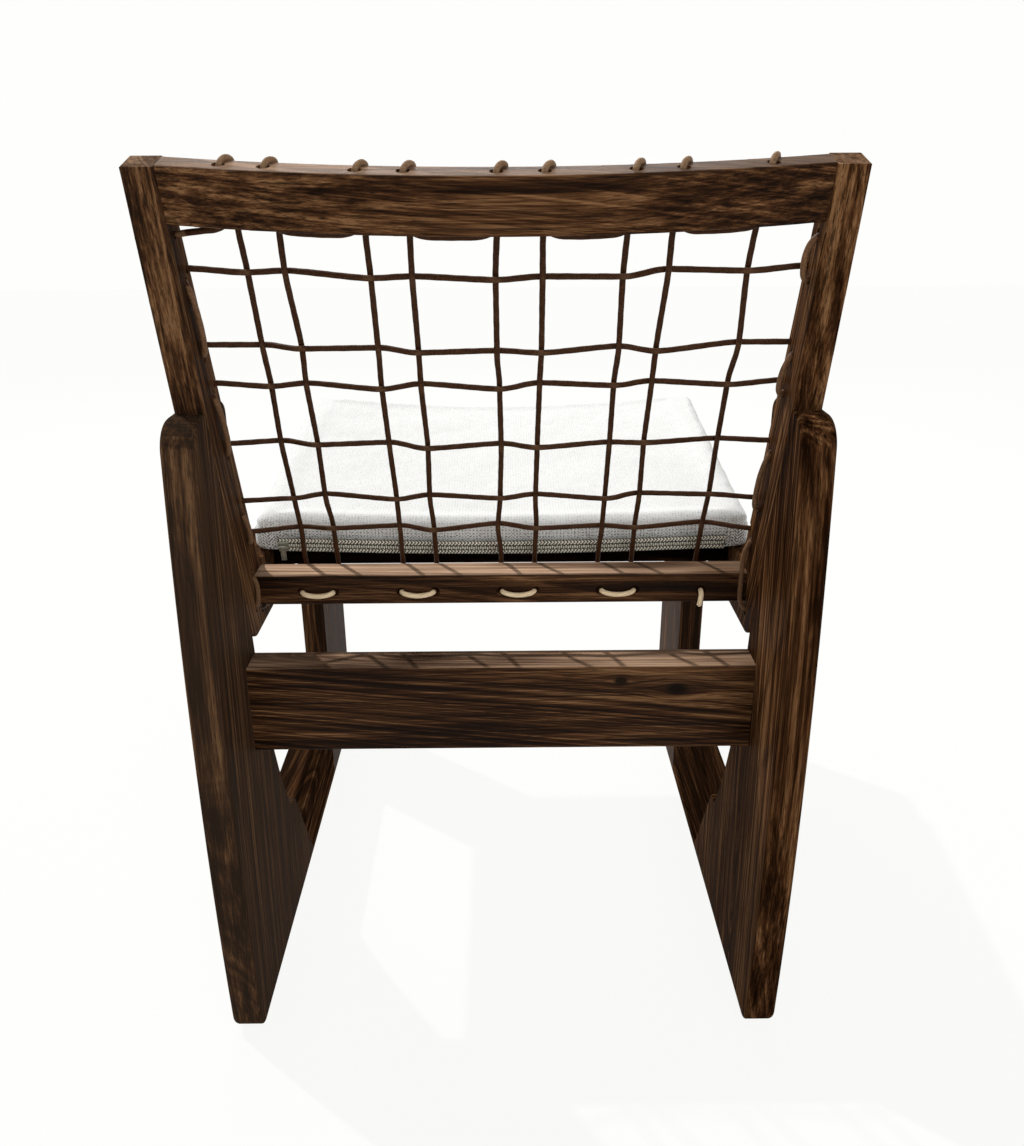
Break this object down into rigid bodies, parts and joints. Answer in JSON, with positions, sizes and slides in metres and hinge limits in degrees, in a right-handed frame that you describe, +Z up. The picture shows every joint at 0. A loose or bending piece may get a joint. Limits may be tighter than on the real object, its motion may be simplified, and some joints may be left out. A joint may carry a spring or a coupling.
{
  "type": "lounge chair",
  "caption": "Low lounge chair in dark wood with slab side panels, a reclined corded back frame and a loose zipped seat pad",
  "frame": {"origin": "middle of the bounding box in plan, on the floor under the glides", "axes": "+Z up, the chair faces -Y, +X is the chair's left side; the frame is mirror-symmetric about the YZ plane apart from the lacing's route and the pad's zip"},
  "size_m": [0.5, 0.5862, 0.7507],
  "materials": {
    "dark_wood": "dark stained, satin oiled",
    "dowel_wood": "plain hardwood, hidden",
    "glide": "matt black",
    "cord": "twisted fibre cord",
    "pad_fabric": "light woven upholstery",
    "zip_tape": "woven tape with moulded teeth",
    "zip_metal": "matt lacquered slider"
  },
  "bodies": {
    "frame": {"rear_leg_left": "dark_wood", "rear_leg_right": "dark_wood", "sill_left": "dark_wood", "sill_right": "dark_wood", "front_leg_left": "dark_wood", "front_leg_right": "dark_wood", "back_stile_left": "dark_wood", "back_stile_right": "dark_wood", "seat_side_rail_left": "dark_wood", "seat_side_rail_right": "dark_wood", "top_rail": "dark_wood", "lower_back_rail": "dark_wood", "rear_stretcher": "dark_wood", "front_seat_rail": "dark_wood", "rear_seat_rail": "dark_wood", "frame_dowels": "dowel_wood", "lap_dowels": "dowel_wood", "glide_rear_left": "glide", "glide_rear_right": "glide", "glide_front_left": "glide", "glide_front_right": "glide", "back_lacing_uprights": "cord", "back_lacing_rows": "cord", "seat_lacing": "cord"},
    "pad": {"seat_pad": "pad_fabric", "zip_tape": "zip_tape"},
    "slider": {"zip_slider": "zip_metal"},
    "pull": {"zip_pull": "zip_metal"}
  },
  "joints": [
    {"name": "pad_lift", "type": "slide", "parent": "frame", "child": "pad", "axis": [0, 0, 1], "range_m": [0, 0.1]},
    {"name": "zip_run", "type": "slide", "parent": "pad", "child": "slider", "axis": [-1, 0, 0], "range_m": [0, 0.4]},
    {"name": "pull_swing", "type": "hinge", "parent": "slider", "child": "pull", "pos_m": [0.2025, 0.10471, 0.4146], "axis": [1, 0, 0], "range_deg": [0, 90]}
  ]
}
